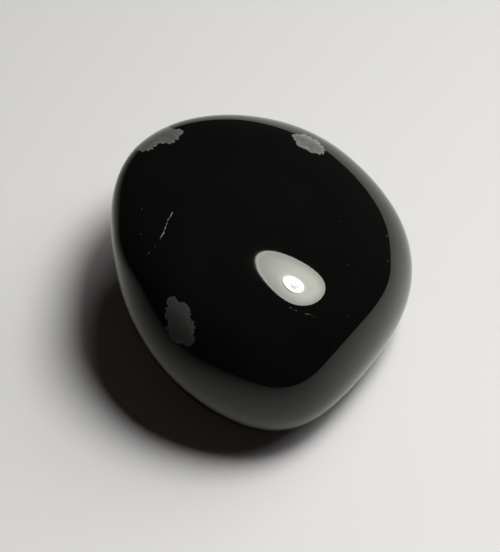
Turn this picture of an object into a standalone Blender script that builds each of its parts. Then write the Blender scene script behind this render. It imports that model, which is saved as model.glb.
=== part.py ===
"""A tumbled, polished pebble of black snowflake obsidian, as one solid stone.

Volcanic glass breaks into lumps with a few broad faces. Days in a tumbling barrel grind the edges away, until
only soft remains of those faces are left on a round, egg-like pebble. The stone is described in that way: a flat
ball, cut by worn faces. Each face has a direction, a distance from the heart of the stone and a flatness.

Metres, +Z up. The stone lies on a small worn flat at z = 0. The origin is at the bottom centre of its box.
"""

import math

import bmesh
import bpy
from mathutils import Vector

MM = 0.001

# The heart is the point that every face is measured from. It lies this high above the surface underneath.
HEART_HEIGHT = 12.0 * MM

# The flat ball that the worn faces cut: its half lengths along X, Y and Z, and how boxy it is.
BALL_HALF_LENGTHS = (36.6 * MM, 28.8 * MM, 14.0 * MM)
BALL_FLATNESS = 8

# Each worn face: azimuth from +X towards +Y, height angle, distance from the heart, and flatness.
# A flatness of 2 is a mere rounding, and 8 is a broad face with tighter edges.
WORN_FACES = {
    "top": (-75, 80, 4.7 * MM, 8),
    "right_shoulder": (20, 55, 9.1 * MM, 5),
    "back_shoulder": (55, 70, 4.8 * MM, 2),
    "left_shoulder": (125, 70, 4.0 * MM, 5),
    "front_slope": (-80, 60, 7.5 * MM, 2),
    "right": (-5, 15, 19.1 * MM, 8),
    "back_right": (50, -25, 19.7 * MM, 5),
    "back": (100, 0, 15.3 * MM, 8),
    "back_left": (140, -35, 11.5 * MM, 8),
    "left": (170, 0, 9.8 * MM, 5),
    "front_left": (-155, 5, 8.6 * MM, 2),
    "front": (-100, 5, 14.3 * MM, 8),
    "front_right": (-40, 5, 17.5 * MM, 8),
    "under_left": (-160, -55, 9.9 * MM, 8),
    "underside": (0, -90, 14.1 * MM, 6),
}

# Cells along each side of the grid that covers the stone. Six such grids, folded like a cube, close round it.
GRID_CELLS = 24

# The search for the surface starts between these two distances from the heart and halves its step each time.
NEAREST_SURFACE = 2.0 * MM
FARTHEST_SURFACE = 30.0 * MM
HALVINGS = 30

OBSIDIAN_BLACK = (0.011, 0.011, 0.012, 1.0)
POLISH_ROUGHNESS = 0.04
VOLCANIC_GLASS_IOR = 1.49


def face_direction(azimuth, height):
    """The outward direction of a worn face, from its two angles in degrees."""
    level = math.cos(math.radians(height))
    return Vector(
        (
            level * math.cos(math.radians(azimuth)),
            level * math.sin(math.radians(azimuth)),
            math.sin(math.radians(height)),
        )
    )


def ground_away(point, faces):
    """How far a point is worn through: 0 at the heart, 1 on the surface, more outside."""
    ball = Vector([place / half for place, half in zip(point, BALL_HALF_LENGTHS)]).length
    total = ball**BALL_FLATNESS
    for direction, distance, flatness in faces:
        reach = max(point.dot(direction), 0.0) / distance
        total += reach**flatness
    return total


def surface_distance(direction, faces):
    """The distance from the heart to the surface in one direction, by halving the step."""
    inside = NEAREST_SURFACE
    outside = FARTHEST_SURFACE
    for _ in range(HALVINGS):
        middle = (inside + outside) / 2
        if ground_away(direction * middle, faces) < 1.0:
            inside = middle
        else:
            outside = middle
    return inside


def even_direction(corner):
    """The direction of a grid corner on a cube of half side 1, spread so that all cells are about as wide."""
    return Vector([math.tan(place * math.pi / 4) for place in corner]).normalized()


def wear_to_shape(grid):
    """Moves every corner of the grid onto the stone, and wears flat what would reach below the floor."""
    faces = [
        (face_direction(azimuth, height), distance, flatness)
        for azimuth, height, distance, flatness in WORN_FACES.values()
    ]
    for corner in grid.verts:
        direction = even_direction(corner.co)
        place = direction * surface_distance(direction, faces)
        corner.co = Vector((place.x, place.y, max(place.z + HEART_HEIGHT, 0.0)))


def centre_on_origin(grid):
    """Slides the stone so that its box is centred over the origin."""
    for axis in range(2):
        low = min(corner.co[axis] for corner in grid.verts)
        high = max(corner.co[axis] for corner in grid.verts)
        for corner in grid.verts:
            corner.co[axis] -= (low + high) / 2


def polished_obsidian():
    """Near-black volcanic glass with a mirror polish."""
    material = bpy.data.materials.new("polished_obsidian")
    material.use_nodes = True
    shader = material.node_tree.nodes["Principled BSDF"]
    shader.inputs["Base Color"].default_value = OBSIDIAN_BLACK
    shader.inputs["Roughness"].default_value = POLISH_ROUGHNESS
    shader.inputs["Metallic"].default_value = 0.0
    shader.inputs["IOR"].default_value = VOLCANIC_GLASS_IOR
    return material


def obsidian_stone():
    """The whole pebble, one closed body."""
    grid = bmesh.new()
    bmesh.ops.create_cube(grid, size=2.0)
    bmesh.ops.subdivide_edges(grid, edges=grid.edges[:], cuts=GRID_CELLS - 1, use_grid_fill=True)
    wear_to_shape(grid)
    centre_on_origin(grid)
    bmesh.ops.recalc_face_normals(grid, faces=grid.faces[:])
    mesh = bpy.data.meshes.new("obsidian_stone")
    grid.to_mesh(mesh)
    grid.free()
    mesh.shade_smooth()
    mesh.materials.append(polished_obsidian())
    stone = bpy.data.objects.new("obsidian_stone", mesh)
    bpy.context.scene.collection.objects.link(stone)
    return stone


def clear_scene():
    for thing in list(bpy.data.objects):
        bpy.data.objects.remove(thing, do_unlink=True)


clear_scene()
obsidian_stone()
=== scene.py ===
# %% [markdown]
# # A tumbled pebble of snowflake obsidian
# Obsidian is volcanic glass that cooled too fast to grow crystals. Here and there small balls of a pale
# mineral, cristobalite, did grow in it, and a polished stone shows them cut through, as grey snowflakes.
# This lesson makes one such pebble: a smooth mesh, a mirror-polished black material with flakes in it,
# and a small studio round it.

import math

import bpy
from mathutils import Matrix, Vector


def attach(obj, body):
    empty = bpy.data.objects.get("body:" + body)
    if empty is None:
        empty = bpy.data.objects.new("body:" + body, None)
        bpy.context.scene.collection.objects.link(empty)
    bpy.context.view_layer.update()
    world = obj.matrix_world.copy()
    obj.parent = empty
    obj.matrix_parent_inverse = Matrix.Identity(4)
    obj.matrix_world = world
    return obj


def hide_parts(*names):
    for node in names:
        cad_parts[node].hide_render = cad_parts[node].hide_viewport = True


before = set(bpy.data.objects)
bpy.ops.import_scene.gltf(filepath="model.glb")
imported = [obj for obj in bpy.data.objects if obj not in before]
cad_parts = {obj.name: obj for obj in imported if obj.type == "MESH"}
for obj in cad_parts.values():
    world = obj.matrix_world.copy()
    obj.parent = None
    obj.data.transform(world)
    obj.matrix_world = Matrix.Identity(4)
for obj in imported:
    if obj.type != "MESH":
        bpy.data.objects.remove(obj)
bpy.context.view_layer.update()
MM = 0.001

# %% [markdown]
# ## The camera
# The stone is seen from above, about 60 degrees over the table, from the length of a forearm. A long lens
# keeps the stone large in the picture. The picture is 500 wide and 552 high, and 11 of its dots make one
# millimetre.

# %% Camera
LOOK_AT = Vector((-1.2, -2.2, 9.0)) * MM
CAMERA_AZIMUTH = -90
CAMERA_HEIGHT_ANGLE = 60
CAMERA_DISTANCE = 260 * MM
NEAREST_SEEN = 10 * MM
FARTHEST_SEEN = 10000 * MM
PICTURE_HEIGHT_DOTS = 552
DOTS_PER_METRE = 11 / MM
SENSOR_HEIGHT_MM = 24


def direction_from(azimuth, height):
    """The direction towards a place at this azimuth, from +X towards +Y, and height angle, in degrees."""
    level = math.cos(math.radians(height))
    across = level * math.cos(math.radians(azimuth))
    back = level * math.sin(math.radians(azimuth))
    return Vector((across, back, math.sin(math.radians(height))))


def place_camera():
    lens = bpy.data.cameras.new("camera")
    lens.sensor_fit = "VERTICAL"
    lens.sensor_height = SENSOR_HEIGHT_MM
    lens.lens = SENSOR_HEIGHT_MM * CAMERA_DISTANCE * DOTS_PER_METRE / PICTURE_HEIGHT_DOTS
    lens.clip_start = NEAREST_SEEN
    lens.clip_end = FARTHEST_SEEN
    camera = bpy.data.objects.new("camera", lens)
    away = direction_from(CAMERA_AZIMUTH, CAMERA_HEIGHT_ANGLE)
    camera.location = LOOK_AT + away * CAMERA_DISTANCE
    camera.rotation_euler = away.to_track_quat("Z", "Y").to_euler()
    bpy.context.scene.collection.objects.link(camera)
    bpy.context.scene.camera = camera
    return camera


camera = place_camera()
print("lens, mm:", round(camera.data.lens, 1))

# %% [markdown]
# ## The stone's smooth surface
# Days in a tumbling barrel leave no facet on the real stone, and its polish mirrors the room, so the
# smallest corner in the mesh would show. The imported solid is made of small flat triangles. A stone
# modelled anew could drift away from it, so a copy of it is used. The copy is joined up, its triangles
# are paired into four-sided faces, and a subdivision then rounds it.

# %% Smooth stone
WELD_DISTANCE = 0.0005 * MM
ALONG_EXISTING_EDGES = 2
SMOOTH_STEPS = 2


def take_up(piece):
    """Makes one piece the only selected and active one."""
    for thing in bpy.context.selected_objects:
        thing.select_set(False)
    piece.select_set(True)
    bpy.context.view_layer.objects.active = piece


def copy_of_solid(node_name, name):
    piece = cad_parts[node_name].copy()
    piece.data = piece.data.copy()
    piece.name = name
    piece.data.name = name
    bpy.context.scene.collection.objects.link(piece)
    return piece


def weld_and_pair(piece):
    take_up(piece)
    bpy.ops.object.mode_set(mode="EDIT")
    bpy.ops.mesh.select_all(action="SELECT")
    bpy.ops.mesh.remove_doubles(threshold=WELD_DISTANCE)
    bpy.ops.mesh.tris_convert_to_quads(face_threshold=math.pi, shape_threshold=math.pi,
                                       topology_influence=ALONG_EXISTING_EDGES)
    bpy.ops.object.mode_set(mode="OBJECT")


def round_off(piece, steps):
    smooth = piece.modifiers.new("smooth", "SUBSURF")
    smooth.levels = steps
    smooth.render_levels = steps
    take_up(piece)
    bpy.ops.object.modifier_apply(modifier=smooth.name)
    bpy.ops.object.shade_smooth()


stone = copy_of_solid("obsidian_stone", "polished_stone")
weld_and_pair(stone)
round_off(stone, SMOOTH_STEPS)
print("polished stone:", len(stone.data.polygons), "faces")

# %% [markdown]
# ## Where the marks are
# Every mark on the stone is named by the direction in which it is seen from a point inside, its azimuth
# and its height angle. A ray from that point finds the place on the surface. A snowflake is the cut
# through one mineral ball, or through a cluster of them that grew together, so each flake is a short list
# of balls.

# %% Places of the marks
INSIDE = Vector((0, 0, 8)) * MM

# Azimuth, height angle, radius in mm and paleness of each mineral ball. The later flakes are on far sides.
FLAKES = {
    "upper left": [(130, 12, 1.8, 0.75), (128.5, 15.3, 1.3, 0.75), (136.3, 14.2, 1.1, 0.75),
                   (124.8, 15.3, 0.7, 0.85)],
    "upper right": [(69, 11.9, 1.55, 1.08), (65, 11.6, 0.95, 1.15), (73.2, 12.6, 0.85, 1.08)],
    "lower left": [(-127, 21.3, 1.5, 0.37), (-130.5, 25.2, 1.4, 0.37), (-136, 28.3, 0.6, 0.4),
                   (-122.5, 19, 0.75, 0.34), (-129.5, 28.3, 0.6, 0.4), (-128.5, 18.3, 0.65, 0.34)],
    "back": [(98, -14, 1.6, 1.0), (105, -10, 1.0, 1.0), (60, -24, 1.2, 0.8)],
    "left side": [(176, -32, 1.1, 0.7), (170, -26, 0.8, 0.8)],
    "right side": [(12, -34, 1.3, 0.9), (4, -30, 0.7, 0.9)],
    "underneath": [(-150, -62, 1.7, 0.8), (-60, -58, 1.4, 0.9), (40, -62, 1.0, 0.7)],
}

# Azimuth, height angle and radius in mm of single tiny specks: pale dust and chips. The two near the right
# rim, at azimuths 7.5 and -7, are also painted glints.
SPECKS = [(171, 29.5, 0.07), (-173.5, 31.8, 0.06), (-162, 33.4, 0.09), (-164, 35.7, 0.05), (-66.5, 30, 0.06),
          (7.5, 9.5, 0.10), (-7, 11.6, 0.09), (-23.7, 30.7, 0.05), (12.2, 32.1, 0.05), (-47, 20, 0.06)]

# The two ends of each scratch as azimuth and height angle, then its width in mm and its paleness.
SCRATCHES = [((173.2, 40.7), (-166.9, 37.8), 0.07, 1.0), ((-74.1, 34.8), (-70.8, 32.5), 0.05, 0.3),
             ((-67, 30.8), (-62, 27.6), 0.05, 0.3)]


def on_surface(azimuth, height):
    """The place where a ray from inside the stone comes out."""
    _, place, _, _ = stone.ray_cast(INSIDE, direction_from(azimuth, height))
    return place


balls = [(on_surface(azimuth, height), size * MM, paleness)
         for flake in FLAKES.values() for azimuth, height, size, paleness in flake]
specks = [(on_surface(azimuth, height), size * MM) for azimuth, height, size in SPECKS]
scratches = [(on_surface(*start), on_surface(*end), width * MM, paleness)
             for start, end, width, paleness in SCRATCHES]
print("mineral balls:", len(balls), " specks:", len(specks), " scratches:", len(scratches))

# %% [markdown]
# ## Building blocks for the material
# The material is a graph of small steps. These helpers add one step each, so that the cells after them
# read like a recipe.

# %% Helpers for single steps
def plug(tree, value, socket):
    """Feeds a socket from another socket, or sets it to a plain value."""
    if isinstance(value, bpy.types.NodeSocket):
        tree.links.new(value, socket)
    else:
        socket.default_value = value


def step(tree, kind, **sockets):
    """Adds one node, and feeds its input sockets by name."""
    node = tree.nodes.new(kind)
    for name, value in sockets.items():
        plug(tree, value, node.inputs[name])
    return node


def maths(tree, operation, first, second=0.0, third=0.0):
    """One arithmetic step."""
    node = tree.nodes.new("ShaderNodeMath")
    node.operation = operation
    for socket, value in zip(node.inputs, (first, second, third)):
        plug(tree, value, socket)
    return node.outputs["Value"]


def vector_step(tree, operation, first, second=None, scale=None):
    """One step with vectors; its length or dot product comes out of the socket called Value."""
    node = tree.nodes.new("ShaderNodeVectorMath")
    node.operation = operation
    plug(tree, first, node.inputs[0])
    if second is not None:
        plug(tree, second, node.inputs[1])
    if scale is not None:
        plug(tree, scale, node.inputs["Scale"])
    return node


# %% [markdown]
# ## Blends and groups
# Some steps come up again and again: a mix of two colours, and a soft switch from 0 to 1. A longer recipe
# that is needed many times with other numbers, once for every mineral ball or scratch, becomes a group.

# %% Helpers for blends and groups
# Where the Mix node keeps its first, second and result sockets for each kind of value.
MIX_SOCKETS = {"RGBA": (6, 7, 2), "VECTOR": (4, 5, 1), "FLOAT": (2, 3, 0)}


def blend(tree, factor, first, second, kind="RGBA"):
    """Mixes two colours, vectors or values."""
    node = tree.nodes.new("ShaderNodeMix")
    node.data_type = kind
    first_socket, second_socket, result_socket = MIX_SOCKETS[kind]
    plug(tree, factor, node.inputs[0])
    plug(tree, first, node.inputs[first_socket])
    plug(tree, second, node.inputs[second_socket])
    return node.outputs[result_socket]


def fade_between(tree, value, low, high):
    """A soft switch: 0 at one limit, 1 at the other."""
    node = tree.nodes.new("ShaderNodeMapRange")
    node.interpolation_type = "SMOOTHSTEP"
    plug(tree, value, node.inputs["Value"])
    plug(tree, low, node.inputs["From Min"])
    plug(tree, high, node.inputs["From Max"])
    return node.outputs["Result"]


def new_group(name, inputs, outputs):
    """A node group with named sockets, and the nodes for its two ends."""
    tree = bpy.data.node_groups.new(name, "ShaderNodeTree")
    for label, kind in inputs:
        tree.interface.new_socket(label, in_out="INPUT", socket_type="NodeSocket" + kind)
    for label, kind in outputs:
        tree.interface.new_socket(label, in_out="OUTPUT", socket_type="NodeSocket" + kind)
    return tree, tree.nodes.new("NodeGroupInput").outputs, tree.nodes.new("NodeGroupOutput").inputs


def use_group(tree, group, **sockets):
    """Puts a node group into a graph."""
    node = tree.nodes.new("ShaderNodeGroup")
    node.node_tree = group
    for name, value in sockets.items():
        plug(tree, value, node.inputs[name])
    return node


# %% [markdown]
# ## Mineral balls
# A crystal ball grows out from one seed in thin needles, and its skin is knobbly like a cauliflower. A
# picture of flakes would have to be wrapped round the stone. Balls that are given in space are cut by its
# skin of their own accord. The first group asks, for a point of the stone, which of the balls it is
# nearest to, counted in radii. The second turns that answer into a snowflake: a knobbly edge, rays from
# the seed, and a paler, bluer rim.

# %% Groups for the snowflakes
# A ball ends this many radii from its seed, before the knobs and the grains bite into its edge.
EDGE_RADII = 1.07
KNOB_SCALE = 3.6
KNOB_BITE = 0.42
GRAIN_SCALE = 2.4 / MM
GRAIN_BITE = 0.22
EDGE_FADE = (-0.03, 0.05)
RIM_FADE = (0.45, 0.0)
NEEDLES = {"Scale": 7.0, "Detail": 5.0, "Roughness": 0.6}
CLOUDS = {"Scale": 2.5 / MM, "Detail": 4.0}
CLOUD_SHARE = 0.5


def nearer_ball_group():
    tree, given, result = new_group(
        "nearer_ball",
        [("Place", "Vector"), ("Nearest", "Vector"), ("Tone", "Float"),
         ("Seed", "Vector"), ("Radius", "Float"), ("Paleness", "Float")],
        [("Nearest", "Vector"), ("Tone", "Float")])
    offset = vector_step(tree, "SUBTRACT", given["Place"], given["Seed"]).outputs["Vector"]
    in_radii = vector_step(tree, "SCALE", offset, scale=maths(tree, "DIVIDE", 1.0, given["Radius"]))
    here = vector_step(tree, "LENGTH", in_radii.outputs["Vector"]).outputs["Value"]
    before = vector_step(tree, "LENGTH", given["Nearest"]).outputs["Value"]
    closer = maths(tree, "LESS_THAN", here, before)
    plug(tree, blend(tree, closer, given["Nearest"], in_radii.outputs["Vector"], "VECTOR"), result["Nearest"])
    plug(tree, blend(tree, closer, given["Tone"], given["Paleness"], "FLOAT"), result["Tone"])
    return tree


def snowflake_group():
    tree, given, result = new_group(
        "snowflake",
        [("Place", "Vector"), ("Nearest", "Vector")],
        [("Mask", "Float"), ("Rays", "Float"), ("Rim", "Float")])
    radii = vector_step(tree, "LENGTH", given["Nearest"]).outputs["Value"]
    ray = vector_step(tree, "NORMALIZE", given["Nearest"]).outputs["Vector"]
    knobs = step(tree, "ShaderNodeTexVoronoi", Vector=ray, Scale=KNOB_SCALE).outputs["Distance"]
    grains = step(tree, "ShaderNodeTexVoronoi", Vector=given["Place"], Scale=GRAIN_SCALE).outputs["Distance"]
    edge = maths(tree, "MULTIPLY_ADD", maths(tree, "POWER", knobs, 2.0), -KNOB_BITE, EDGE_RADII)
    edge = maths(tree, "MULTIPLY_ADD", maths(tree, "POWER", grains, 2.0), -GRAIN_BITE, edge)
    inward = maths(tree, "SUBTRACT", edge, radii)
    plug(tree, fade_between(tree, inward, *EDGE_FADE), result["Mask"])
    needles = step(tree, "ShaderNodeTexNoise", Vector=ray, **NEEDLES).outputs["Fac"]
    clouds = step(tree, "ShaderNodeTexNoise", Vector=given["Place"], **CLOUDS).outputs["Fac"]
    clouds = maths(tree, "MULTIPLY", clouds, CLOUD_SHARE)
    plug(tree, maths(tree, "MULTIPLY_ADD", needles, 1 - CLOUD_SHARE, clouds), result["Rays"])
    plug(tree, fade_between(tree, inward, *RIM_FADE), result["Rim"])
    return tree


nearer_ball = nearer_ball_group()
snowflake = snowflake_group()
print("snowflake steps:", len(nearer_ball.nodes), "for each ball and", len(snowflake.nodes), "for the whole")

# %% [markdown]
# ## Scratches
# A grain of grit that slid over the polished stone left a row of tiny chips. They scatter light, so a
# scratch on black glass looks pale. The line lies where a plane through its two ends cuts the stone, and
# noise moves it from side to side and breaks it into chips. A cut groove that fine would need a far
# denser mesh.

# %% Group for scratches
SWAY_NOISE = {"Scale": 1.6 / MM, "Detail": 3.0}
SWAY_WIDTH = 0.35 * MM
CHIP_NOISE = {"Scale": 3.2 / MM, "Detail": 2.0}
CHIP_FADE = (0.36, 0.62)

# Shares of a scratch's width, and of its paleness, that are there between chips and that a chip adds.
WIDTH_BETWEEN_CHIPS = 0.25
WIDTH_FROM_CHIP = 0.4
PALENESS_BETWEEN_CHIPS = 0.3
PALENESS_FROM_CHIP = 0.7


def scratch_group():
    tree, given, result = new_group(
        "scratch",
        [("Place", "Vector"), ("Start", "Vector"), ("Along", "Vector"), ("Across", "Vector"),
         ("Length", "Float"), ("Width", "Float")],
        [("Mask", "Float")])
    offset = vector_step(tree, "SUBTRACT", given["Place"], given["Start"]).outputs["Vector"]
    far = vector_step(tree, "LENGTH", offset).outputs["Value"]
    along = vector_step(tree, "DOT_PRODUCT", offset, given["Along"]).outputs["Value"]
    aside = vector_step(tree, "DOT_PRODUCT", offset, given["Across"]).outputs["Value"]
    sway = step(tree, "ShaderNodeTexNoise", Vector=given["Place"], **SWAY_NOISE).outputs["Fac"]
    sway = maths(tree, "MULTIPLY", maths(tree, "SUBTRACT", sway, 0.5), SWAY_WIDTH)
    aside = maths(tree, "ABSOLUTE", maths(tree, "ADD", aside, sway))
    chips = step(tree, "ShaderNodeTexNoise", Vector=given["Place"], **CHIP_NOISE).outputs["Fac"]
    chips = fade_between(tree, chips, *CHIP_FADE)
    half = maths(tree, "MULTIPLY_ADD", chips, WIDTH_FROM_CHIP, WIDTH_BETWEEN_CHIPS)
    half = maths(tree, "MULTIPLY", given["Width"], half)
    line = fade_between(tree, aside, half, maths(tree, "MULTIPLY", half, 0.5))
    inside = maths(tree, "MULTIPLY", maths(tree, "GREATER_THAN", along, 0.0),
                   maths(tree, "LESS_THAN", far, given["Length"]))
    line = maths(tree, "MULTIPLY", line, inside)
    pale = maths(tree, "MULTIPLY_ADD", chips, PALENESS_FROM_CHIP, PALENESS_BETWEEN_CHIPS)
    plug(tree, maths(tree, "MULTIPLY", line, pale), result["Mask"])
    return tree


scratch = scratch_group()
print("scratch steps:", len(scratch.nodes))

# %% [markdown]
# ## All the marks together
# The groups are now chained. Each ball's group hands on whichever ball is nearest so far, so that balls
# which touch share one outline, as grown crystals do. A speck is a tiny ball without knobs. Scratches are
# simply added up, because they don't cross.

# %% Chains of marks
FAR_AWAY = (99.0, 99.0, 99.0)
SPECK_FADE = (1.1, 0.4)
SPECK_STRENGTH = 0.25


def all_balls(tree, place, mineral_balls):
    """The nearest ball's offset in radii, and how pale that ball is."""
    nearest, tone = FAR_AWAY, 1.0
    for seed, radius, paleness in mineral_balls:
        ball = use_group(tree, nearer_ball, Place=place, Nearest=nearest, Tone=tone,
                         Seed=seed, Radius=radius, Paleness=paleness)
        nearest, tone = ball.outputs["Nearest"], ball.outputs["Tone"]
    return nearest, tone


def all_scratches(tree, place):
    """How much of a scratch there is at a place."""
    total = 0.0
    for start, end, width, paleness in scratches:
        along = (end - start).normalized()
        across = along.cross(start - INSIDE).normalized()
        line = use_group(tree, scratch, Place=place, Start=start, Along=along, Across=across,
                         Length=(end - start).length, Width=width)
        total = maths(tree, "MULTIPLY_ADD", line.outputs["Mask"], paleness, total)
    return total


def speck_mask(tree, place):
    """Where the tiny specks are; the two at the right rim are also painted glints."""
    nearest, _ = all_balls(tree, place, [(seed, radius, 1.0) for seed, radius in specks])
    radii = vector_step(tree, "LENGTH", nearest).outputs["Value"]
    return maths(tree, "MULTIPLY", fade_between(tree, radii, *SPECK_FADE), SPECK_STRENGTH)


# %% [markdown]
# ## The stone's material
# Polished volcanic glass is nearly black and mirrors like a window, about 4 percent straight on and far
# more at the rim, which the refractive index of 1.49 gives by itself. The flakes share that polish, a
# little duller.

# %% Stone material
GLASS_INDEX = 1.49
GLASS_DARK = (0.0010, 0.0010, 0.0010, 1)
GLASS_LIGHT = (0.0022, 0.0021, 0.0019, 1)
FLAKE_HEART = (0.083, 0.083, 0.076, 1)
FLAKE_EDGE = (0.101, 0.115, 0.106, 1)
SCRATCH_PALE = (0.16, 0.16, 0.15, 1)
RAY_CONTRAST = 1.5
DARKEST_RAY = 0.25

# Faint flow bands run through the glass. They change its tone and its polish a little.
BANDS = {"Scale": 0.25 / MM, "Detail": 3.0}
SMOOTHEST_ROUGHNESS = 0.015
BAND_ROUGHNESS = 0.03
FLAKE_ROUGHNESS = 0.09
MARK_ROUGHNESS = 0.4
FLAKE_RELIEF = 0.02 * MM
RELIEF_STRENGTH = 0.35


def polished_obsidian():
    material = bpy.data.materials.new("polished_obsidian")
    material.use_nodes = True
    tree = material.node_tree
    shader = tree.nodes["Principled BSDF"]
    shader.inputs["IOR"].default_value = GLASS_INDEX
    place = tree.nodes.new("ShaderNodeTexCoord").outputs["Object"]
    nearest, tone = all_balls(tree, place, balls)
    flake = use_group(tree, snowflake, Place=place, Nearest=nearest)
    marks = maths(tree, "MAXIMUM", all_scratches(tree, place), speck_mask(tree, place))
    bands = step(tree, "ShaderNodeTexNoise", Vector=place, **BANDS).outputs["Fac"]
    glass = blend(tree, bands, GLASS_DARK, GLASS_LIGHT)
    pale = blend(tree, flake.outputs["Rim"], FLAKE_HEART, FLAKE_EDGE)
    shade = maths(tree, "MULTIPLY_ADD", flake.outputs["Rays"], RAY_CONTRAST, DARKEST_RAY)
    pale = vector_step(tree, "SCALE", pale, scale=maths(tree, "MULTIPLY", shade, tone)).outputs["Vector"]
    skin = blend(tree, flake.outputs["Mask"], glass, pale)
    plug(tree, blend(tree, marks, skin, SCRATCH_PALE), shader.inputs["Base Color"])
    glassy = maths(tree, "MULTIPLY_ADD", bands, BAND_ROUGHNESS, SMOOTHEST_ROUGHNESS)
    polish = blend(tree, flake.outputs["Mask"], glassy, FLAKE_ROUGHNESS, "FLOAT")
    plug(tree, blend(tree, marks, polish, MARK_ROUGHNESS, "FLOAT"), shader.inputs["Roughness"])
    relief = maths(tree, "MULTIPLY", flake.outputs["Mask"], flake.outputs["Rays"])
    bump = step(tree, "ShaderNodeBump", Height=relief, Strength=RELIEF_STRENGTH, Distance=FLAKE_RELIEF)
    plug(tree, bump.outputs["Normal"], shader.inputs["Normal"])
    return material


stone.data.materials.clear()
stone.data.materials.append(polished_obsidian())
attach(stone, "root")
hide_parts("obsidian_stone")
print("stone material:", len(stone.data.materials[0].node_tree.nodes), "steps")

# %% [markdown]
# ## The card's tones, with painted light and shade
# The stone lies on a pale matt card, and its polish shows that card a second time. The camera sees the
# card in an even tone. The stone's mirror sees it in a tone with painted shade, which fades towards the
# left and the front, where the card lay in shade, and dims slowly towards the right and the back. Painted
# light then raises both a little towards the front, and painted shade lowers them towards the back,
# because the lamps alone would leave the card too dark in front.

# %% Card tones, with painted light and shade
CARD_WHITE = (0.50, 0.498, 0.492, 1)
# CARD_MIRRORED is the mirrored card where it is painted fully lit. CARD_SHADED is added as its painted shade
# tone.
CARD_MIRRORED = (0.625, 0.63, 0.57)
CARD_SHADED = (0.124, 0.125, 0.118)
# Where the painted shade on the mirrored card begins, how far it reaches, and how sharply it sets in.
SHADE_FROM = (12 * MM, 29 * MM)
SHADE_OVER = (33 * MM, 51 * MM)
SHADE_POWER = 3.3
# Painted shade that dims the mirrored card slowly towards the right and the back.
SHADE_SLOPE_DIRECTION = (0.85, 0.45, 0)
SHADE_SLOPE_LIMITS = (-40 * MM, 60 * MM)
SHADE_SLOPE_LENGTH = 91 * MM
# Painted light towards the front of the card and painted shade towards its back, in both tones.
PAINTED_FRONT_LIGHT_PER_METRE = (0, -3.7, 0)
PAINTED_FRONT_LIGHT_LIMIT = 0.2
CARD_ROUGHNESS = 0.9
CARD_SPECULAR = 0.2


def mirrored_shade(tree, place):
    """Painted shade on the mirrored card: 1 beside the stone, falling to 0 on the left and in front."""
    axes = step(tree, "ShaderNodeSeparateXYZ", Vector=place).outputs
    past = [maths(tree, "DIVIDE", maths(tree, "SUBTRACT", start, axes[axis]), over)
            for axis, start, over in zip(("X", "Y"), SHADE_FROM, SHADE_OVER)]
    past = [maths(tree, "POWER", maths(tree, "MAXIMUM", value, 0.0), 2.0) for value in past]
    depth = maths(tree, "POWER", maths(tree, "ADD", *past), SHADE_POWER / 2)
    return maths(tree, "DIVIDE", 1.0, maths(tree, "ADD", depth, 1.0))


def painted_slope_shade(tree, place):
    """Painted shade: the mirrored card also dims slowly towards the right and the back."""
    lampwards = vector_step(tree, "DOT_PRODUCT", place, SHADE_SLOPE_DIRECTION).outputs["Value"]
    lampwards = maths(tree, "MINIMUM", maths(tree, "MAXIMUM", lampwards, SHADE_SLOPE_LIMITS[0]), SHADE_SLOPE_LIMITS[1])
    return maths(tree, "EXPONENT", maths(tree, "DIVIDE", lampwards, -SHADE_SLOPE_LENGTH))


def painted_front_light(tree, place):
    """Painted light makes the card a little paler towards the front, and painted shade a little darker
    towards the back.
    """
    gain = vector_step(tree, "DOT_PRODUCT", place, PAINTED_FRONT_LIGHT_PER_METRE).outputs["Value"]
    gain = maths(tree, "MINIMUM", maths(tree, "MAXIMUM", gain, -PAINTED_FRONT_LIGHT_LIMIT), PAINTED_FRONT_LIGHT_LIMIT)
    return maths(tree, "ADD", gain, 1.0)


def pale_card():
    material = bpy.data.materials.new("pale_card")
    material.use_nodes = True
    tree = material.node_tree
    shader = tree.nodes["Principled BSDF"]
    shader.inputs["Roughness"].default_value = CARD_ROUGHNESS
    shader.inputs["Specular IOR Level"].default_value = CARD_SPECULAR
    place = tree.nodes.new("ShaderNodeTexCoord").outputs["Object"]
    # The mirrored tone carries painted shade: full beside the stone, darker to the left and front, dimmer to
    # the right and back.
    lit = maths(tree, "MULTIPLY", mirrored_shade(tree, place), painted_slope_shade(tree, place))
    painted_mirror_tone = vector_step(tree, "SCALE", CARD_MIRRORED, scale=lit).outputs["Vector"]
    painted_mirror_tone = vector_step(tree, "ADD", painted_mirror_tone, CARD_SHADED).outputs["Vector"]
    mirrored = tree.nodes.new("ShaderNodeLightPath").outputs["Is Glossy Ray"]
    tone = blend(tree, mirrored, CARD_WHITE, painted_mirror_tone)
    # Painted light towards the front and painted shade towards the back, for the camera and the mirror alike.
    tone = vector_step(tree, "SCALE", tone, scale=painted_front_light(tree, place)).outputs["Vector"]
    plug(tree, tone, shader.inputs["Base Color"])
    return material


matt_card = pale_card()
print("card finish:", len(matt_card.node_tree.nodes), "steps")

# %% [markdown]
# ## The card and the table
# The card ends a few centimetres behind and to the right of the stone, so its mirror image in the stone
# has a sharp edge there. Just under it lies a wide table with the same finish, which only the camera sees.
# It carries the pale ground on past the card's edge. Both are plain flat sheets, since nothing on them
# is raised.

# %% Card and table
CARD_RIGHT = 56 * MM
CARD_BACK = 88 * MM
CARD_TURN = -29
CARD_REACH = 900 * MM
TABLE_REACH = 1500 * MM
TABLE_DROP = 0.05 * MM


def flat_sheet(name, corners, height):
    mesh = bpy.data.meshes.new(name)
    mesh.from_pydata([(x, y, height) for x, y in corners], [], [list(range(len(corners)))])
    sheet = bpy.data.objects.new(name, mesh)
    bpy.context.scene.collection.objects.link(sheet)
    sheet.data.materials.append(matt_card)
    return sheet


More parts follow.
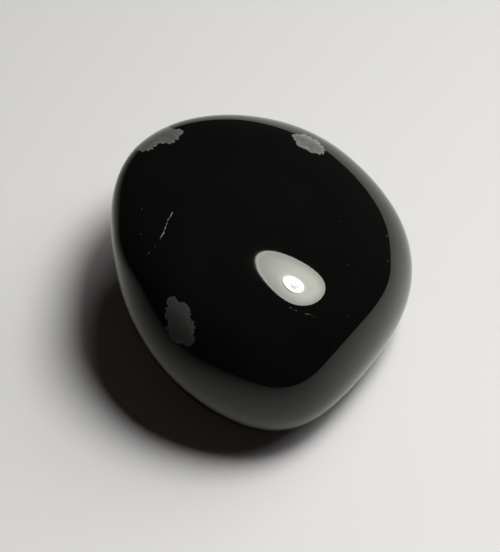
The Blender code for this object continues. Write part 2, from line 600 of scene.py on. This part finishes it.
def turned(x, y):
    """A corner of the card, turned with it."""
    turn = math.radians(CARD_TURN)
    return (x * math.cos(turn) - y * math.sin(turn), x * math.sin(turn) + y * math.cos(turn))


card = flat_sheet("card", [turned(-CARD_REACH, -CARD_REACH), turned(CARD_RIGHT, -CARD_REACH),
                           turned(CARD_RIGHT, CARD_BACK), turned(-CARD_REACH, CARD_BACK)], 0)
table = flat_sheet("table", [(-TABLE_REACH, -TABLE_REACH), (TABLE_REACH, -TABLE_REACH),
                             (TABLE_REACH, TABLE_REACH), (-TABLE_REACH, TABLE_REACH)], -TABLE_DROP)
table.visible_glossy = False
table.visible_diffuse = False
print("card corners, mm:", [[round(place / MM) for place in corner.co] for corner in card.data.vertices])

# %% [markdown]
# ## The lamps
# One desk lamp stands to the right and a little behind. Its round pale front, with the bare bulb bright
# in it, is what the stone mirrors as a drop shape. That lamp shows in the mirror only. The light comes
# from two others, which the stone doesn't mirror: a disc about as large as the lamp gives the core of the
# shadow, and a wide soft one farther off gives the broad edge. They stand where the shadow falls best, a
# little away from the lamp.

# %% Lamps
LAMP = Vector((85.4, 45.3, 197.3)) * MM
LAMP_RADIUS = 46.3 * MM
BULB = LAMP + Vector((-14.5, -2.5, 6.2)) * MM
BULB_RADIUS = 13.2 * MM
BULB_AHEAD = 6 * MM
MIRRORED_TINT = (0.968, 1.0, 0.88)
FRONT_BRIGHTNESS = 12.8
BULB_BRIGHTNESS = 38
LIGHT_TINT = (1.0, 0.993, 0.989)
CORE_LIGHT = direction_from(34, 65.4) * 220 * MM
CORE_RADIUS = 44 * MM
CORE_BRIGHTNESS = 28.2
WIDE_LIGHT = direction_from(40, 48.5) * 500 * MM
WIDE_RADIUS = 246 * MM
WIDE_BRIGHTNESS = 3.33


def disc_lamp(name, place, radius, brightness, mirrored):
    """A round lamp that either shows in the stone's mirror or lights the scene, but not both."""
    data = bpy.data.lights.new(name, "AREA")
    data.shape = "DISK"
    data.size = 2 * radius
    data.energy = brightness * (math.pi * radius) ** 2
    data.color = MIRRORED_TINT if mirrored else LIGHT_TINT
    lamp = bpy.data.objects.new(name, data)
    lamp.location = place
    lamp.rotation_euler = (place - LOOK_AT).to_track_quat("Z", "Y").to_euler()
    lamp.visible_camera = False
    lamp.visible_glossy = mirrored
    lamp.visible_diffuse = not mirrored
    bpy.context.scene.collection.objects.link(lamp)
    return lamp


lamp_axis = (LAMP - LOOK_AT).normalized()
lamp_front = disc_lamp("lamp_front", LAMP, LAMP_RADIUS, FRONT_BRIGHTNESS, True)
lamp_bulb = disc_lamp("lamp_bulb", BULB - lamp_axis * BULB_AHEAD, BULB_RADIUS, BULB_BRIGHTNESS, True)
core_light = disc_lamp("core_light", CORE_LIGHT, CORE_RADIUS, CORE_BRIGHTNESS, False)
wide_light = disc_lamp("wide_light", WIDE_LIGHT, WIDE_RADIUS, WIDE_BRIGHTNESS, False)
lamps = (lamp_front, lamp_bulb, core_light, wide_light)
print("lamps, and their power in watts:", {lamp.name: round(lamp.data.energy, 2) for lamp in lamps})

# %% [markdown]
# ## The face of the desk lamp
# Seen in polished glass, the lamp's front isn't one flat tone. The pale reflector is brightest in the
# middle and dims towards its edge, which catches the light as a thin line. The bulb glows on the
# reflector round it, with a dark gap on one side, and its tube shows as faint curls. The curls are noise.
# The rest follows from how far a point is from the middle of the lamp, or from one in or beside the bulb,
# so no mesh is needed.

# %% Shading of the lamp's front and bulb
BULB_GAP = Vector((-1.7, -1.7, 1.2)) * MM

# Distances on the front and round the bulb are in their own radii, and strengths are shares of the lamp's.
FRONT_MIDDLE = 1.03
FRONT_DIMS_FROM = 0.5
FRONT_DIMS_OVER = 0.48
FRONT_DIMMING = 0.42
FRONT_DIMMING_POWER = 1.3
RIM_LINE = (0.95, 0.975)
RIM_LINE_STRENGTH = 0.18
BULB_GLOW = (1.6, 1.0)
BULB_GLOW_STRENGTH = 0.14
GAP_EDGE = (1.06, 0.98)
GAP_DARKNESS = 0.8
CURL_NOISE = {"Scale": 0.17 / MM, "Detail": 1.0, "Distortion": 1.0}
CURL_FADE = (0.42, 0.52)
CURLS_WITHIN = (0.75, 0.5)
CURL_DARKNESS = 0.6


def far_from(tree, place, centre, radius):
    """The distance from a centre, counted in radii."""
    offset = vector_step(tree, "SUBTRACT", place, centre).outputs["Vector"]
    return maths(tree, "DIVIDE", vector_step(tree, "LENGTH", offset).outputs["Value"], radius)


def shade_lamp_front(lamp):
    """The pale front dims towards its rim, has a thin bright rim line, and a dark gap beside the bulb."""
    lamp.data.use_nodes = True
    tree = lamp.data.node_tree
    place = tree.nodes.new("ShaderNodeNewGeometry").outputs["Position"]
    out = far_from(tree, place, LAMP, LAMP_RADIUS)
    past = maths(tree, "DIVIDE", maths(tree, "SUBTRACT", out, FRONT_DIMS_FROM), FRONT_DIMS_OVER)
    past = maths(tree, "POWER", maths(tree, "MAXIMUM", past, 0.0), FRONT_DIMMING_POWER)
    face = maths(tree, "MULTIPLY_ADD", past, -FRONT_DIMMING, FRONT_MIDDLE)
    rim = maths(tree, "MULTIPLY", fade_between(tree, out, *RIM_LINE), RIM_LINE_STRENGTH)
    glow = fade_between(tree, far_from(tree, place, BULB, BULB_RADIUS), *BULB_GLOW)
    glow = maths(tree, "MULTIPLY", glow, BULB_GLOW_STRENGTH)
    gap = fade_between(tree, far_from(tree, place, BULB + BULB_GAP, BULB_RADIUS), *GAP_EDGE)
    lit = maths(tree, "SUBTRACT", 1.0, maths(tree, "MULTIPLY", gap, GAP_DARKNESS))
    strength = maths(tree, "MULTIPLY", maths(tree, "ADD", maths(tree, "ADD", face, rim), glow), lit)
    plug(tree, strength, tree.nodes["Emission"].inputs["Strength"])


def shade_bulb(lamp):
    """The bulb's glass shows faint grey curls of its tube in the middle."""
    lamp.data.use_nodes = True
    tree = lamp.data.node_tree
    place = tree.nodes.new("ShaderNodeNewGeometry").outputs["Position"]
    curls = step(tree, "ShaderNodeTexNoise", Vector=place, **CURL_NOISE).outputs["Fac"]
    curls = fade_between(tree, curls, *CURL_FADE)
    middle = fade_between(tree, far_from(tree, place, lamp.location, BULB_RADIUS), *CURLS_WITHIN)
    curls = maths(tree, "MULTIPLY", curls, middle)
    strength = maths(tree, "SUBTRACT", 1.0, maths(tree, "MULTIPLY", curls, CURL_DARKNESS))
    plug(tree, strength, tree.nodes["Emission"].inputs["Strength"])


shade_lamp_front(lamp_front)
shade_bulb(lamp_bulb)
print("steps on the lamp's front and bulb:", [len(lamp.data.node_tree.nodes) for lamp in lamps[:2]])

# %% [markdown]
# ## The room
# Black glass mirrors whatever is around it, and most of its face mirrors the ceiling. A dark ceiling
# keeps the stone black, and it is a little lighter on the right, where the lamp stands. The soft light
# that fills the shadow has a dim, warm tone of its own. The camera alone would see a pale room, if it ever
# looked past the table.

# %% Room
ROOM_FOR_CAMERA = (0.75, 0.75, 0.74, 1)
ROOM_MIRRORED_LEFT = (0.014, 0.014, 0.013, 1)
ROOM_MIRRORED_RIGHT = (0.036, 0.036, 0.034, 1)
ROOM_SOFT_LIGHT = (0.024, 0.019, 0.017, 1)
ROOM_LIGHTENS_RIGHTWARDS = (-0.9, 0.3)


def dim_room():
    """A pale room for the camera, a dark one for the stone's mirror, and a dim one for soft light."""
    world = bpy.data.worlds.new("room")
    bpy.context.scene.world = world
    world.use_nodes = True
    tree = world.node_tree
    path = tree.nodes.new("ShaderNodeLightPath").outputs
    toward = tree.nodes.new("ShaderNodeTexCoord").outputs["Generated"]
    side = step(tree, "ShaderNodeSeparateXYZ", Vector=toward).outputs["X"]
    rightwards = fade_between(tree, side, *ROOM_LIGHTENS_RIGHTWARDS)
    mirrored = blend(tree, rightwards, ROOM_MIRRORED_LEFT, ROOM_MIRRORED_RIGHT)
    dark = blend(tree, path["Is Diffuse Ray"], mirrored, ROOM_SOFT_LIGHT)
    colour = blend(tree, path["Is Camera Ray"], dark, ROOM_FOR_CAMERA)
    plug(tree, colour, tree.nodes["Background"].inputs["Color"])


dim_room()
bpy.context.scene.view_settings.view_transform = "Standard"
print("room:", len(bpy.context.scene.world.node_tree.nodes), "steps")
